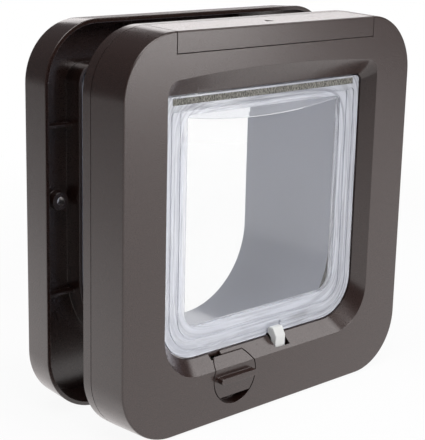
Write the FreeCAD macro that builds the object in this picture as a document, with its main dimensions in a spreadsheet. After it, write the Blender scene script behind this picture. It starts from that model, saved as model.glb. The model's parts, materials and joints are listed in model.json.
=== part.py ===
import FreeCAD
import Part
import Sketcher
import os
import re
import sys
from collections import namedtuple

# Electronic cat flap for a door: an indoor unit with a tunnel through the door, and a hollow outdoor
# frame that slides on the tunnel. X runs to the right as seen from indoors, Y outdoors and Z up.
# Depths are counted from the indoor face, and every piece is then moved back to the middle of the base.

# Driving dimensions in millimetres: name, value, what it is
SIZES = [
    ("frame_side", 210, "width and height of both frames"),
    ("frame_corner", 33, "radius of the frames' corners"),
    ("shell_wall", 2.4, "wall of the moulded shells"),
    ("seam_gap", 0.3, "shadow line between cover and rear housing"),
    ("plate_depth", 6, "rear housing rim, from the cover to the door"),
    ("front_draft", 0.8, "how much smaller the face is on each side"),
    ("edge_round", 0.9, "rounding of the face's outer edge"),
    ("door_gap", 31, "room for the door between the two frames"),
    ("outdoor_depth", 20, "depth of the outdoor frame"),
    ("outdoor_draft", 1.2, "how much smaller its outer face is on each side"),
    ("outdoor_round", 1.6, "rounding of its outer edge"),
    ("tunnel_overhang", 18, "tunnel end past the outdoor frame"),
    ("throat_gap", 0.1, "throat's front edge to the front of the flap"),
    ("throat_length", 8.9, "straight part of the throat"),
    ("tunnel_wall", 2, "wall of the tunnel"),
    ("tunnel_seat", 1.2, "flange of the throat round the start of the tunnel"),
    ("tunnel_fall", 15.5, "tunnel's floor below the flap's lower edge"),
    ("tunnel_headroom", 5, "tunnel's ceiling below the opening's upper edge"),
    ("tunnel_play", 3, "tunnel wall to the edge of the flap"),
    ("tunnel_low_corner", 50, "radius of the tunnel's lower corners"),
    ("tunnel_high_corner", 12, "radius of the tunnel's upper corners"),
    ("sleeve_play", 0.4, "outdoor frame to the tunnel"),
    ("sleeve_headroom", 1.5, "outdoor frame to the top of the tunnel"),
    ("sleeve_corner", 7, "radius of the outdoor opening's upper corners"),
    ("sleeve_reach", 11, "collar round the outdoor opening, towards the door"),
    ("side_width", 28, "face beside the opening"),
    ("opening_low", 29.8, "lower edge of the opening in the face"),
    ("tray_sill", 5.6, "opening's upper edge at its corners, below the battery tray"),
    ("opening_crown", 3.5, "rise of the upper edge in the middle"),
    ("opening_low_corner", 25, "radius of the opening's lower corners"),
    ("opening_high_corner", 8, "radius of the opening's upper corners"),
    ("reveal_depth", 8, "depth of the sloping surround"),
    ("reveal_wall", 2.2, "wall of the sloping surround"),
    ("flap_inset", 5.5, "edge of the flap inside the opening"),
    ("flap_rise", 7.7, "lower edge of the flap above the opening's"),
    ("flap_setback", 0.5, "front of the flap behind the surround"),
    ("flap_thickness", 3.6, "rim of the flap"),
    ("flap_low_corner", 22, "radius of the flap's lower corners"),
    ("flap_high_corner", 3, "radius of the flap's upper corners"),
    ("flap_play", 0.8, "gap round the flap"),
    ("hinge_gap", 13.3, "hinge axis below the opening's upper edge"),
    ("hinge_setback", 6, "hinge axis behind the front of the flap"),
    ("hinge_bar", 4.3, "radius of the flap's hinge bar"),
    ("bar_end", 2.5, "end of the hinge bar to the flap's edge"),
    ("pin_radius", 2, "radius of the flap's hinge pins"),
    ("pin_length", 5, "length of each hinge pin"),
    ("pin_play", 0.05, "running clearance of round parts"),
    ("bush_wall", 1.55, "wall of a hinge bush"),
    ("bush_length", 4.6, "length of a hinge bush"),
    ("boss_wall", 2, "plastic round a hinge bush"),
    ("rim_width", 15, "clear rim round the flap's window"),
    ("sill_width", 16.3, "clear rim below the window"),
    ("band_height", 1.4, "clear band between hinge bar and window"),
    ("smile_sides", 1.2, "drop of the band's curved lower edge at its ends"),
    ("smile_middle", 5.6, "drop of that edge in the middle"),
    ("window_corner", 9, "radius of the window's corners"),
    ("window_recess", 0.8, "step from rim to window, each face"),
    ("groove_first", 3.6, "outer groove, from the flap's edge"),
    ("groove_second", 9.4, "inner groove, from the flap's edge"),
    ("groove_top", 2.3, "top of both grooves below the hinge axis"),
    ("groove_width", 1.2, "width of the grooves in the rim"),
    ("groove_depth", 0.6, "depth of the grooves in the rim"),
    ("brush_height", 3.4, "height of the pile strip on the hinge bar"),
    ("brush_rise", 1.6, "middle of the pile strip above the hinge axis"),
    ("brush_depth", 1, "depth of the pile strip"),
    ("brush_end", 5, "pile strip's end to the flap's edge"),
    ("magnet_across", 31, "middle of the flap's magnet, to the right"),
    ("magnet_length", 14, "length of the magnets"),
    ("magnet_height", 2.6, "height of the magnets"),
    ("magnet_thickness", 1.6, "thickness of the magnets"),
    ("magnet_rise", 3.4, "flap's lower edge to its magnet"),
    ("latch_across", 9.8, "middle of the indoor latch, to the right"),
    ("latch_width", 7.5, "width of the indoor latch"),
    ("latch_front", 2.6, "front of the latch behind the face"),
    ("latch_stem", 4.2, "thickness of the latch's stem"),
    ("latch_foot", 13, "foot of the latch's stem"),
    ("latch_rise", 4.2, "top of the latch above the flap's lower edge"),
    ("latch_play", 0.7, "slot to the latch, left side"),
    ("latch_room", 3, "slot to the latch, right side"),
    ("notch_depth", 1.4, "notch in the flap's rim for the latch"),
    ("plunger_across", 11.7, "latch to its plunger"),
    ("plunger_radius", 1.4, "radius of the plunger"),
    ("solenoid_side", 11, "width of the solenoid"),
    ("solenoid_height", 10.2, "height of the solenoid"),
    ("knob_across", 27, "middle of the knob, to the left"),
    ("knob_fall", 5.8, "middle of the knob below the opening"),
    ("knob_radius", 15, "radius of the knob"),
    ("knob_gap", 0.5, "gap round the knob"),
    ("knob_back_gap", 0.4, "knob to the floor behind it"),
    ("knob_chord", 10.5, "knob's middle to the flat on its lower side"),
    ("well_floor", 1.6, "floor behind the knob"),
    ("grip_half", 13.2, "half the length of the grip"),
    ("grip_thickness", 3.4, "thickness of the grip"),
    ("grip_proud", 4, "grip in front of the face"),
    ("shaft_radius", 3, "radius of the knob's shaft"),
    ("bearing_depth", 4.6, "bearing tube behind the knob"),
    ("pinion_teeth", 12, "teeth of the pinion"),
    ("tooth_module", 1, "module of pinion and rack"),
    ("tooth_play", 0.12, "thinning of each side of a tooth"),
    ("pinion_width", 3, "width of pinion and lock bar"),
    ("bar_width", 5.2, "lock bar beside its teeth"),
    ("bar_length", 20.5, "length of the lock bar"),
    ("bar_gap", 7, "top of the lock bar at rest below the flap"),
    ("bar_play", 0.4, "lock bar to its slot"),
    ("rack_teeth", 6, "teeth of the lock bar"),
    ("battery_end", 5.5, "end of the battery cover past the tray"),
    ("battery_skirt", 11.5, "battery cover's skirt, down from the top"),
    ("battery_wall", 2.2, "wall of the battery cover"),
    ("battery_gap", 0.35, "seam round the battery cover"),
    ("cell_radius", 5.25, "radius of a battery cell"),
    ("cell_nub", 0.9, "cell's positive contact"),
    ("tray_wall", 1.2, "wall of the battery tray"),
    ("tray_gap", 4.6, "top of the battery tray below the top of the frame"),
    ("tray_end", 6, "end of the battery tray to the frame's corners"),
    ("tray_front_gap", 0.5, "battery cover's wall to the tray"),
    ("tray_back_gap", 0.7, "battery tray to the back plate"),
    ("cell_play", 0.1, "battery cell to the tray"),
    ("cell_gap", 0.9, "between the two rows of cells"),
    ("cell_cover", 3, "top of the cells below the top of the tray"),
    ("tray_centre", 14, "half the width of the tray's middle block"),
    ("spring_room", 5.2, "room for a contact spring"),
    ("spring_width", 5, "width of a contact spring's leaf"),
    ("spring_leaf", 0.4, "thickness of that leaf"),
    ("button_radius", 3.5, "radius of the settings button"),
    ("board_thickness", 1.6, "thickness of the circuit boards"),
    ("board_height", 50, "height of the control board"),
    ("board_gap", 10, "its upper edge below the frame's upper corners"),
    ("board_play", 3.3, "antenna coil to the control board"),
    ("board_edge", 5, "control board to the frame's side"),
    ("coil_play", 0.4, "antenna coil to the throat"),
    ("coil_depth", 4.6, "width of the antenna coil"),
    ("coil_thickness", 2.6, "thickness of the antenna coil"),
    ("post_inset", 14, "housing screws from the frame's sides"),
    ("post_low", 30, "lower housing screws above the base"),
    ("post_gap", 28, "upper housing screws below the top"),
    ("post_radius", 3.8, "radius of the screw posts"),
    ("screw_hole", 1.4, "radius of the holes for the housing screws"),
    ("head_hole", 3.1, "radius of the recesses for their heads"),
    ("head_recess", 1.4, "depth of those recesses"),
    ("fix_gap", 10, "holes for the fixing screws, beside the tunnel"),
    ("fix_rise", 9, "those holes above the frame's middle"),
    ("fix_radius", 2.2, "radius of those holes in the outdoor frame"),
    ("pilot_radius", 1.6, "radius of those holes in the rear housing"),
    ("fix_boss", 5, "radius of the bosses round them"),
    ("rib_thickness", 1.6, "ribs of the outdoor frame"),
    ("rib_height", 5, "height of the ribs and bosses on the outdoor frame's floor"),
    ("rib_fall", 42, "its lower side ribs below the middle"),
    ("rib_rise", 49, "its upper side ribs above the middle"),
    ("rib_across", 40, "its upright ribs, to each side"),
]

doc = FreeCAD.newDocument("cat_flap")
sheet = doc.addObject("Spreadsheet::Sheet", "Sizes")
for row, (alias, value, note) in enumerate(SIZES, start=1):
    sheet.set(f"A{row}", alias)
    sheet.set(f"B{row}", str(value))
    sheet.setAlias(f"B{row}", alias)
    sheet.set(f"C{row}", note)
doc.recompute()

NAMES = {alias for alias, value, note in SIZES}
WORD = re.compile(r"[a-z][a-z_0-9]*")

# Sizes that follow from the driving ones, so that the pieces keep together when one of those changes
DERIVED = {
    "opening_half": "(frame_side / 2 - side_width)",
    "flap_half": "(opening_half - flap_inset)",
    "tray_top": "(frame_side - tray_gap)",
    "tray_bottom": "(tray_top - cell_cover - 2 * cell_radius - cell_play - tray_wall)",
    "tray_depth": "(2 * tray_wall + 2 * cell_play + 4 * cell_radius + cell_gap)",
    "tray_front": "(battery_wall + tray_front_gap)",
    "cover_depth": "(tray_front + tray_depth + tray_back_gap + shell_wall - plate_depth - seam_gap)",
    "flap_low": "(opening_low + flap_rise)",
    "flap_depth": "(reveal_depth + flap_setback)",
    "throat_straight": "(flap_depth - throat_gap + throat_length)",
    "tunnel_floor": "(flap_low - tunnel_fall)",
    "hinge_depth": "(flap_depth + hinge_setback)",
    "knob_height": "(opening_low - knob_fall)",
    "knob_thickness": "(reveal_depth - well_floor - knob_back_gap)",
    "bar_top": "(flap_low - bar_gap)",
    "opening_high": "(tray_bottom - tray_sill)",
    "hinge_height": "(opening_high - hinge_gap)",
    "tunnel_high": "(opening_high - tunnel_headroom)",
    "tray_half": "(frame_side / 2 - frame_corner - tray_end)",
    "battery_half": "(tray_half + battery_end)",
    "cell_length": "(tray_half - tray_centre - 2 * tray_wall - cell_nub - spring_room)",
    "post_across": "(frame_side / 2 - post_inset)",
    "post_high": "(frame_side - post_gap)",
    "fix_across": "(flap_half + tunnel_play + tunnel_wall + fix_gap)",
    "fix_height": "(frame_side / 2 + fix_rise)",
    "rib_low": "(frame_side / 2 - rib_fall)",
    "rib_high": "(frame_side / 2 + rib_rise)",
    "coil_inner": "(tunnel_seat + coil_play)",
    "board_left": "(flap_half + tunnel_play + tunnel_wall + coil_inner + coil_thickness + board_play)",
    "board_right": "(frame_side / 2 - board_edge)",
    "board_high": "(frame_side - frame_corner - board_gap)",
    "board_low": "(board_high - board_height)",
}

# Depths that several pieces share, as formulas of the driving dimensions
SEAM = "(cover_depth + seam_gap)"
DOOR_FACE = f"({SEAM} + plate_depth)"
PLATE_FRONT = f"({DOOR_FACE} - shell_wall)"
OUTDOOR_RIM = f"({DOOR_FACE} + door_gap)"
OUTDOOR_FACE = f"({OUTDOOR_RIM} + outdoor_depth)"
TUNNEL_END = f"({OUTDOOR_FACE} + tunnel_overhang)"
THROAT = "(flap_depth - throat_gap)"
MIDDLE = f"(({TUNNEL_END} - grip_proud) / 2)"
FLAP_BACK = "(flap_depth + flap_thickness)"
FLAP_HIGH = "(hinge_height + hinge_bar)"


def formula(text):
    """Write out the derived sizes in a formula, and point each driving size at its cell."""
    def cell(match):
        word = match.group()
        if word in DERIVED:
            return formula(DERIVED[word])
        return "Sizes." + word if word in NAMES else word

    return WORD.sub(cell, str(text))


def number(text):
    return float(sheet.evalExpression(formula(text)))


def bind(thing, **sizes):
    """Bind properties to formulas: Base_x stands for Placement.Base.x."""
    for name, text in sizes.items():
        if name.startswith("Base_"):
            name = "Placement.Base." + name[-1]
        thing.setExpression(name, formula(text))


def new_body(label, x="0", y="0", z="0"):
    """A piece modelled about a local point, which its placement moves to (x, y, z)."""
    body = doc.addObject("PartDesign::Body", label)
    body.AllowCompound = True
    bind(body, Base_x=x, Base_y=f"({y}) - {MIDDLE}", Base_z=z)
    return body


def sketch_on(body, role, offset):
    """A sketch on one of the body's own planes, moved along the plane's normal."""
    sketch = body.newObject("Sketcher::SketchObject", body.Label + "_sketch")
    plane = next(item for item in body.Origin.OriginFeatures if item.Role == role)
    sketch.AttachmentSupport = [(plane, "")]
    sketch.MapMode = "FlatFace"
    bind(sketch, **{"AttachmentOffset.Base.z": offset})
    return sketch


def dimension(sketch, name, text, kind, *where):
    """A driving dimension bound to a formula."""
    index = sketch.addConstraint(Sketcher.Constraint(kind, *where, number(text)))
    sketch.renameConstraint(index, name)
    sketch.setExpression("Constraints." + name, formula(text))


# A window-shaped outline: half its width, lower and upper edge, corner radii and rise of the upper edge
Outline = namedtuple("Outline", "half low high low_corner high_corner crown")


def grown(outline, by):
    """The outline moved outwards by the same distance all round."""
    half, low, high, low_corner, high_corner, crown = outline
    return Outline(f"({half} + {by})", f"({low} - {by})", f"({high} + {by})",
                   f"({low_corner} + {by})", f"({high_corner} + {by})", crown)


def draw_outline(sketch, outline, tag="o"):
    """Bottom, right, top and left edges with an arc at each corner, counter-clockwise."""
    half, low, high, low_r, high_r, crown = (number(text) for text in outline)
    first = sketch.GeometryCount
    normal = FreeCAD.Vector(0, 0, 1)
    radius = (half * half + crown * crown) / (2 * crown) if crown else 0
    middle = high + crown - radius
    across = half - high_r
    side = high - high_r
    top_right = FreeCAD.Vector(across, high, 0)
    if crown:
        side = middle + ((radius - high_r) ** 2 - across ** 2) ** 0.5
        towards = FreeCAD.Vector(across, side - middle, 0).normalize()
        top_right = FreeCAD.Vector(0, middle, 0) + towards * radius
    quarter = 1.5707963267948966
    lean = top_right.sub(FreeCAD.Vector(across, side, 0))
    turn = FreeCAD.Vector(1, 0, 0).getAngle(lean)

    def arc(x, y, r, start, end):
        return Part.ArcOfCircle(Part.Circle(FreeCAD.Vector(x, y, 0), normal, r), start, end)

    def line(x1, y1, x2, y2):
        return Part.LineSegment(FreeCAD.Vector(x1, y1, 0), FreeCAD.Vector(x2, y2, 0))

    if crown:
        top = arc(0, middle, radius, turn, 2 * quarter - turn)
    else:
        top = line(across, high, -across, high)
    edges = [
        line(low_r - half, low, half - low_r, low),
        arc(half - low_r, low + low_r, low_r, -quarter, 0),
        line(half, low + low_r, half, side),
        arc(across, side, high_r, 0, turn),
        top,
        arc(-across, side, high_r, 2 * quarter - turn, 2 * quarter),
        line(-half, side, -half, low + low_r),
        arc(low_r - half, low + low_r, low_r, 2 * quarter, 3 * quarter),
    ]
    sketch.addGeometry(edges, False)
    for i in range(8):
        sketch.addConstraint(Sketcher.Constraint("Tangent", first + i, 2, first + (i + 1) % 8, 1))
    sketch.addConstraint(Sketcher.Constraint("Horizontal", first))
    sketch.addConstraint(Sketcher.Constraint("Vertical", first + 2))
    sketch.addConstraint(Sketcher.Constraint("Vertical", first + 6))
    sketch.addConstraint(Sketcher.Constraint("Equal", first + 1, first + 7))
    sketch.addConstraint(Sketcher.Constraint("Equal", first + 3, first + 5))
    dimension(sketch, tag + "_low_corner", outline.low_corner, "Radius", first + 1)
    dimension(sketch, tag + "_high_corner", outline.high_corner, "Radius", first + 3)
    dimension(sketch, tag + "_right", outline.half, "DistanceX", -1, 1, first + 2, 1)
    dimension(sketch, tag + "_left", outline.half, "DistanceX", first + 6, 1, -1, 1)
    dimension(sketch, tag + "_low", outline.low, "DistanceY", -1, 1, first, 1)
    if crown:
        spread = f"(({outline.half})^2 + ({outline.crown})^2) / (2 * ({outline.crown}))"
        centre = f"({outline.high}) + ({outline.crown}) - {spread}"
        sketch.addConstraint(Sketcher.Constraint("PointOnObject", first + 4, 3, -2))
        dimension(sketch, tag + "_top", spread, "Radius", first + 4)
        dimension(sketch, tag + "_centre", centre, "DistanceY", -1, 1, first + 4, 3)
    else:
        sketch.addConstraint(Sketcher.Constraint("Horizontal", first + 4))
        dimension(sketch, tag + "_high", outline.high, "DistanceY", -1, 1, first + 4, 1)


def draw_polygon(sketch, points):
    """A closed run of straight edges through points given as pairs of formulas."""
    corners = [FreeCAD.Vector(number(x), number(y), 0) for x, y in points]
    count = len(corners)
    edges = [Part.LineSegment(corners[i], corners[(i + 1) % count]) for i in range(count)]
    sketch.addGeometry(edges, False)
    for i, (x, y) in enumerate(points):
        sketch.addConstraint(Sketcher.Constraint("Coincident", i, 2, (i + 1) % count, 1))
        dimension(sketch, f"x{i}", x, "DistanceX", -1, 1, i, 1)
        dimension(sketch, f"y{i}", y, "DistanceY", -1, 1, i, 1)


def slab(body, outline, start, end, hole=None, cut=False):
    """Add or cut an outline, or the ring between two outlines, from one depth to another."""
    sketch = sketch_on(body, "XZ_Plane", f"-({start})")
    draw_outline(sketch, outline)
    if hole:
        draw_outline(sketch, hole, "h")
    feature = body.newObject("PartDesign::Pocket" if cut else "PartDesign::Pad", "Slab")
    feature.Profile = sketch
    feature.Reversed = not cut
    bind(feature, Length=f"({end}) - ({start})")
    return feature


def loft(body, *sections, cut=False):
    """Add or cut a body through outlines at their depths, straight from each to the next."""
    sketches = []
    for outline, depth in sections:
        sketch = sketch_on(body, "XZ_Plane", f"-({depth})")
        draw_outline(sketch, outline)
        sketches.append(sketch)
    feature = body.newObject("PartDesign::SubtractiveLoft" if cut else "PartDesign::AdditiveLoft", "Loft")
    feature.Profile = sketches[0]
    feature.Sections = sketches[1:]
    feature.Ruled = True
    return feature


def extrude(body, role, points, start, length, cut=False, backwards=False):
    """Add or cut a polygon along the normal of one of the body's planes."""
    sketch = sketch_on(body, role, start)
    draw_polygon(sketch, points)
    feature = body.newObject("PartDesign::Pocket" if cut else "PartDesign::Pad", "Profile")
    feature.Profile = sketch
    feature.Reversed = backwards
    bind(feature, Length=length)
    return feature


def block(body, x, y, z, cut=False):
    """Add or cut a box: each argument is a pair of formulas, from and to."""
    feature = body.newObject("PartDesign::SubtractiveBox" if cut else "PartDesign::AdditiveBox", "Block")
    bind(feature, Length=f"({x[1]}) - ({x[0]})", Width=f"({y[1]}) - ({y[0]})", Height=f"({z[1]}) - ({z[0]})")
    bind(feature, Base_x=x[0], Base_y=y[0], Base_z=z[0])
    return feature


ALONG = {
    "x": FreeCAD.Rotation(FreeCAD.Vector(0, 1, 0), 90),
    "y": FreeCAD.Rotation(FreeCAD.Vector(1, 0, 0), -90),
    "z": FreeCAD.Rotation(),
}


def rod(body, axis, at, start, end, radius, cut=False):
    """Add or cut a cylinder along an axis; at holds the two other coordinates, in X, Y, Z order."""
    kind = "PartDesign::SubtractiveCylinder" if cut else "PartDesign::AdditiveCylinder"
    feature = body.newObject(kind, "Rod")
    feature.Placement = FreeCAD.Placement(FreeCAD.Vector(), ALONG[axis])
    place = list(at)
    place.insert("xyz".index(axis), start)
    bind(feature, Radius=radius, Height=f"({end}) - ({start})")
    bind(feature, Base_x=place[0], Base_y=place[1], Base_z=place[2])
    return feature


def fillet(body, radius, wanted):
    """Round the edges of the last feature whose middle passes the test."""
    doc.recompute()
    base = body.Tip
    names = [f"Edge{i}" for i, edge in enumerate(base.Shape.Edges, start=1) if wanted(edge.CenterOfMass)]
    feature = body.newObject("PartDesign::Fillet", "Round")
    feature.Base = (base, names)
    bind(feature, Radius=radius)
    return feature


def grow_signed(sign, low, high):
    """A from-to pair on the right of the middle, or the same pair mirrored to the left."""
    if sign > 0:
        return (f"({low})", f"({high})")
    return (f"-({high})", f"-({low})")


# Outlines that fit each other
FRAME = Outline("frame_side / 2", "0", "frame_side", "frame_corner", "frame_corner", "0")
FACE = grown(FRAME, "(-front_draft)")
OPENING = Outline("opening_half", "opening_low", "opening_high",
                  "opening_low_corner", "opening_high_corner", "opening_crown")
LEAF = Outline("flap_half", "flap_low", FLAP_HIGH, "flap_low_corner", "flap_high_corner", "0")
MOUTH = grown(LEAF, "flap_play")
TUNNEL = Outline("(flap_half + tunnel_play)", "tunnel_floor", "tunnel_high",
                 "tunnel_low_corner", "tunnel_high_corner", "0")
TUNNEL_SKIN = grown(TUNNEL, "tunnel_wall")
SLEEVE = Outline("(flap_half + tunnel_play + tunnel_wall + sleeve_play)",
                 "(tunnel_floor - tunnel_wall - sleeve_play)",
                 "(tunnel_high + tunnel_wall + sleeve_headroom)",
                 "(tunnel_low_corner + tunnel_wall + sleeve_play)", "sleeve_corner", "0")

# Slots shared by the pieces that move and the shells that they pass through
LATCH_SLOT = ("latch_across - latch_width / 2 - latch_play", "latch_across + latch_width / 2 + latch_room")
PITCH = "(tooth_module * pinion_teeth / 2)"
RACK_ROOT = f"(knob_across + {PITCH} + 1.25 * tooth_module)"
BAR_SLOT = (f"-({RACK_ROOT} + bar_width + bar_play)",
            f"-(knob_across + {PITCH} - tooth_module - bar_play)")
BAR_FRONT = f"({FLAP_BACK} + 1.1)"
MAGNET_TOP = "(flap_low - flap_play - tunnel_wall - 1.5)"
BRUSH_MIDDLE = "(hinge_height + brush_rise)"
POSTS = [(side, height) for side in ("post_across", "-post_across") for height in ("post_low", "post_high")]


def front_cover():
    """Moulded shell with the face, the sloping surround, the knob's well and four screw posts."""
    body = new_body("front_cover")
    loft(body, (grown(FACE, "(-edge_round)"), "0"),
         (grown(FACE, "(-0.29 * edge_round)"), "0.29 * edge_round"),
         (FACE, "edge_round"), (FRAME, "cover_depth"))
    loft(body, (grown(FACE, "(-shell_wall)"), "shell_wall"),
         (grown(FRAME, "(-shell_wall)"), "cover_depth"), cut=True)
    knob = ("-knob_across", "knob_height")
    rod(body, "y", knob, "shell_wall / 2", "reveal_depth", "knob_radius + knob_gap + 2")
    loft(body, (grown(OPENING, "reveal_wall"), "0"), (grown(MOUTH, "reveal_wall"), "reveal_depth"))
    for side, height in POSTS:
        rod(body, "y", (side, height), "shell_wall / 2", PLATE_FRONT, "post_radius")
    loft(body, (OPENING, "0"), (MOUTH, "reveal_depth"), cut=True)
    rod(body, "y", knob, "reveal_depth - well_floor", "reveal_depth + bearing_depth", "shaft_radius + 2")
    rod(body, "y", knob, "-1", "reveal_depth - well_floor", "knob_radius + knob_gap", cut=True)
    rod(body, "y", knob, "0", "reveal_depth + bearing_depth + 1", "shaft_radius + pin_play", cut=True)
    battery = ("-(battery_half + battery_gap)", "battery_half + battery_gap")
    below = "frame_side - battery_skirt - battery_gap"
    block(body, battery, ("-1", "cover_depth + 1"), (below, "frame_side + 1"), cut=True)
    sill = "flap_low - flap_play"
    block(body, LATCH_SLOT, ("latch_front - latch_play", "reveal_depth + 1"),
          ("opening_low - reveal_wall", f"{sill} + 6"), cut=True)
    block(body, BAR_SLOT, ("reveal_depth - 3", "reveal_depth + 1"), (f"{sill} - 5", f"{sill} + 6"), cut=True)
    left_rib = "latch_across - latch_width / 2 - latch_play / 2"
    block(body, (f"{left_rib} - 1.4", left_rib), ("shell_wall / 2", "reveal_depth + 1"),
          ("shell_wall", "latch_foot + 8"))
    return body


def rear_housing():
    """Back plate with its rim and lip, and the throat behind the flap."""
    body = new_body("rear_housing")
    inside = "(-(shell_wall + 0.25))"
    slab(body, FRAME, SEAM, DOOR_FACE)
    slab(body, grown(FRAME, inside), "cover_depth - 2", SEAM)
    slab(body, grown(FRAME, "(-(shell_wall + 1.65))"), "cover_depth - 2", PLATE_FRONT, cut=True)
    slab(body, grown(MOUTH, "tunnel_wall"), THROAT, "throat_straight")
    loft(body, (grown(MOUTH, "tunnel_wall"), "throat_straight"),
         (grown(TUNNEL_SKIN, "tunnel_seat"), PLATE_FRONT))
    for sign in (1, -1):
        boss = grow_signed(sign, "flap_half + flap_play + 0.3", "flap_half + flap_play + 0.7 + bush_length")
        rod(body, "x", ("hinge_depth", "hinge_height"), boss[0], boss[1],
            "pin_radius + pin_play + bush_wall + boss_wall")
    slab(body, MOUTH, THROAT, "throat_straight", cut=True)
    loft(body, (MOUTH, "throat_straight"), (TUNNEL, PLATE_FRONT), cut=True)
    slab(body, TUNNEL_SKIN, PLATE_FRONT, DOOR_FACE, cut=True)
    for sign in (1, -1):
        bore = grow_signed(sign, "flap_half - 1", "flap_half + flap_play + 2 + bush_length")
        rod(body, "x", ("hinge_depth", "hinge_height"), bore[0], bore[1],
            "pin_radius + bush_wall + 2 * pin_play", cut=True)
        fixing = (f"{sign} * fix_across", "fix_height")
        rod(body, "y", fixing, "cover_depth - 4", PLATE_FRONT, "fix_boss - 0.5")
        rod(body, "y", fixing, "cover_depth - 4", DOOR_FACE, "pilot_radius", cut=True)
    for side, height in POSTS:
        rod(body, "y", (side, height), PLATE_FRONT, DOOR_FACE, "screw_hole", cut=True)
        rod(body, "y", (side, height), f"{DOOR_FACE} - head_recess", DOOR_FACE, "head_hole", cut=True)
    for height in ("board_low + 8", "board_high - 8"):
        block(body, ("(board_left + board_right) / 2 - 2", "(board_left + board_right) / 2 + 2"),
              ("cover_depth - 4", PLATE_FRONT), (f"{height} - 2", f"{height} + 2"))
    magnet = ("magnet_across - magnet_length / 2", "magnet_across + magnet_length / 2")
    block(body, (f"{magnet[0]} - 1.5", f"{magnet[1]} + 1.5"), (THROAT, f"{THROAT} + magnet_height + 1.8"),
          (f"{MAGNET_TOP} - magnet_thickness - 1.5", "flap_low - flap_play - tunnel_wall / 2"))
    block(body, (f"{magnet[0]} - 0.1", f"{magnet[1]} + 0.1"),
          (f"{THROAT} - 1", f"{THROAT} + magnet_height + 0.3"),
          (f"{MAGNET_TOP} - magnet_thickness - 0.1", f"{MAGNET_TOP} + 0.1"), cut=True)
    ledge = ("cover_depth - 10", PLATE_FRONT)
    for sign in (1, -1):
        block(body, grow_signed(sign, "tray_half - 22", "tray_half - 10"), ledge,
              ("tray_bottom - 2", "tray_bottom - 0.1"))
    guide_left = f"{BAR_SLOT[0]} - 1.6"
    guide_back = f"{BAR_FRONT} + pinion_width + 0.4"
    guide = ("bar_top - bar_length - 0.5", "bar_top - bar_length + 5.5")
    block(body, (guide_left, f"-({RACK_ROOT} + 0.6)"), (guide_back, PLATE_FRONT), guide)
    block(body, (guide_left, BAR_SLOT[0]), (f"{BAR_FRONT} - 1.8", guide_back), guide)
    block(body, (guide_left, f"{BAR_SLOT[0]} + 2.4"), (f"{BAR_FRONT} - 1.8", f"{BAR_FRONT} - 0.4"), guide)
    sill = "flap_low"
    block(body, LATCH_SLOT, (f"{THROAT} - 1", "flap_depth + notch_depth + latch_play"),
          (f"{sill} - 8", f"{sill} + 4"), cut=True)
    block(body, BAR_SLOT, (f"{BAR_FRONT} - bar_play", f"{BAR_FRONT} + pinion_width + bar_play"),
          (f"{sill} - 12", f"{sill} + 2"), cut=True)
    return body


def tunnel():
    """Straight tunnel that starts in the back plate and passes the door and the outdoor frame."""
    body = new_body("tunnel")
    slab(body, TUNNEL_SKIN, PLATE_FRONT, TUNNEL_END, hole=TUNNEL)
    return body


def battery_cover():
    """Lid over the cells: its top and a short skirt flush with the face."""
    body = new_body("battery_cover")
    low = "frame_side - battery_skirt"
    front_top = "frame_side - front_draft"
    back = "cover_depth - battery_gap / 2"
    profile = [
        ("0", low),
        ("0", front_top),
        (back, "frame_side"),
        (back, "frame_side - battery_wall"),
        ("battery_wall", f"{front_top} - battery_wall"),
        ("battery_wall", low),
    ]
    extrude(body, "YZ_Plane", profile, "-battery_half", "2 * battery_half")
    fillet(body, "edge_round", lambda p: abs(p.y) < 1e-6 and p.z > number(front_top) - 0.01)
    mark = [("-3", "9"), ("3", "9"), ("0", "13.5")]
    extrude(body, "XY_Plane", mark, "frame_side + 1", "1.85", cut=True)
    return body


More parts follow.
